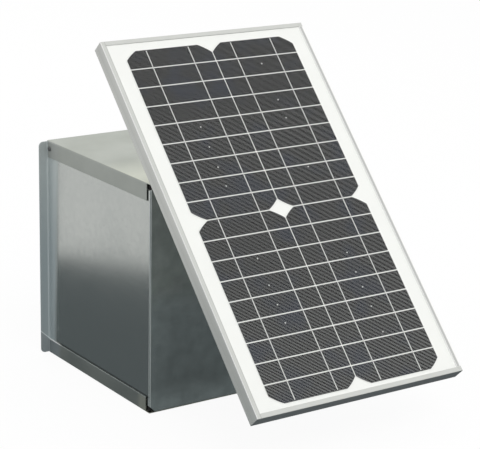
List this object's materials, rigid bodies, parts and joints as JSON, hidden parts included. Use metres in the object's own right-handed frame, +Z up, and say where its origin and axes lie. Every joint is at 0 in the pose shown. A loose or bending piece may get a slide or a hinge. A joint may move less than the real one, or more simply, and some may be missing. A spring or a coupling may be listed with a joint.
{
  "type": "solar attic fan",
  "caption": "Galvanised sheet-steel fan housing with an axial exhaust fan at its flanged back and a tilting framed solar panel on two hinge brackets above its front edge.",
  "frame": {"origin": "middle of the housing's base, on the underside of the bottom pan", "axes": "+Z up, +Y towards the flanged exhaust side, +X to the right as seen from the solar panel's side"},
  "size_m": [0.3294, 0.4997, 0.4506],
  "materials": {
    "galvanised": "satin galvanised sheet",
    "zinc": "bright zinc plate",
    "black_zinc": "black zinc plate",
    "anodised": "satin silver anodised",
    "glass": "clear low-iron glass",
    "silicon": "dark monocrystalline silicon with silver print",
    "white_film": "white backsheet film",
    "black_plastic": "matte moulded",
    "rubber": "matte",
    "fan_plastic": "satin moulded",
    "motor_paint": "satin black paint",
    "steel": "ground steel",
    "core": "bare laminations"
  },
  "bodies": {
    "housing": {"housing_wrap": "galvanised", "top_pan": "galvanised", "bottom_pan": "galvanised", "top_pan_screw_left": "black_zinc", "top_pan_screw_right": "black_zinc", "cable_grommet": "rubber", "orifice_panel": "galvanised", "exhaust_guard": "black_zinc", "guard_standoff_1": "zinc", "guard_standoff_2": "zinc", "guard_standoff_3": "zinc", "guard_standoff_4": "zinc", "motor_strap": "zinc", "strap_screw_left": "zinc", "strap_screw_right": "zinc", "motor_bolt_left": "zinc", "motor_bolt_right": "zinc", "motor_can": "motor_paint", "motor_end_cap": "motor_paint", "front_bearing": "steel", "rear_bearing": "steel", "stator_core": "core", "hinge_bracket_left": "zinc", "hinge_bracket_right": "zinc", "pivot_bolt_left": "zinc", "pivot_bolt_right": "zinc", "pivot_nut_left": "zinc", "pivot_nut_right": "zinc"},
    "fan": {"motor_shaft": "steel", "rotor_magnet": "core", "fan_hub": "fan_plastic", "hub_nut": "zinc", "fan_blade_1": "fan_plastic", "fan_blade_2": "fan_plastic", "fan_blade_3": "fan_plastic", "fan_blade_4": "fan_plastic", "fan_blade_5": "fan_plastic"},
    "panel": {"frame_left": "anodised", "frame_right": "anodised", "frame_top": "anodised", "frame_bottom": "anodised", "corner_key_lower_left": "anodised", "corner_key_lower_right": "anodised", "corner_key_upper_right": "anodised", "corner_key_upper_left": "anodised", "solar_glass": "glass", "cell_string_left": "silicon", "cell_string_right": "silicon", "backsheet": "white_film", "junction_box": "black_plastic", "junction_box_lid": "black_plastic", "cable_gland": "black_plastic", "cross_rail": "anodised", "rail_screw_left": "zinc", "rail_screw_right": "zinc", "tilt_lug_left": "zinc", "tilt_lug_right": "zinc"}
  },
  "joints": [
    {"name": "fan_spin", "type": "hinge", "parent": "housing", "child": "fan", "pos_m": [0, 0.0728, 0.1483], "axis": [0, 1, 0], "continuous": true},
    {"name": "panel_tilt", "type": "hinge", "parent": "housing", "child": "panel", "pos_m": [0, -0.0928, 0.3166], "axis": [-1, 0, 0], "range_deg": [0, 35]}
  ]
}
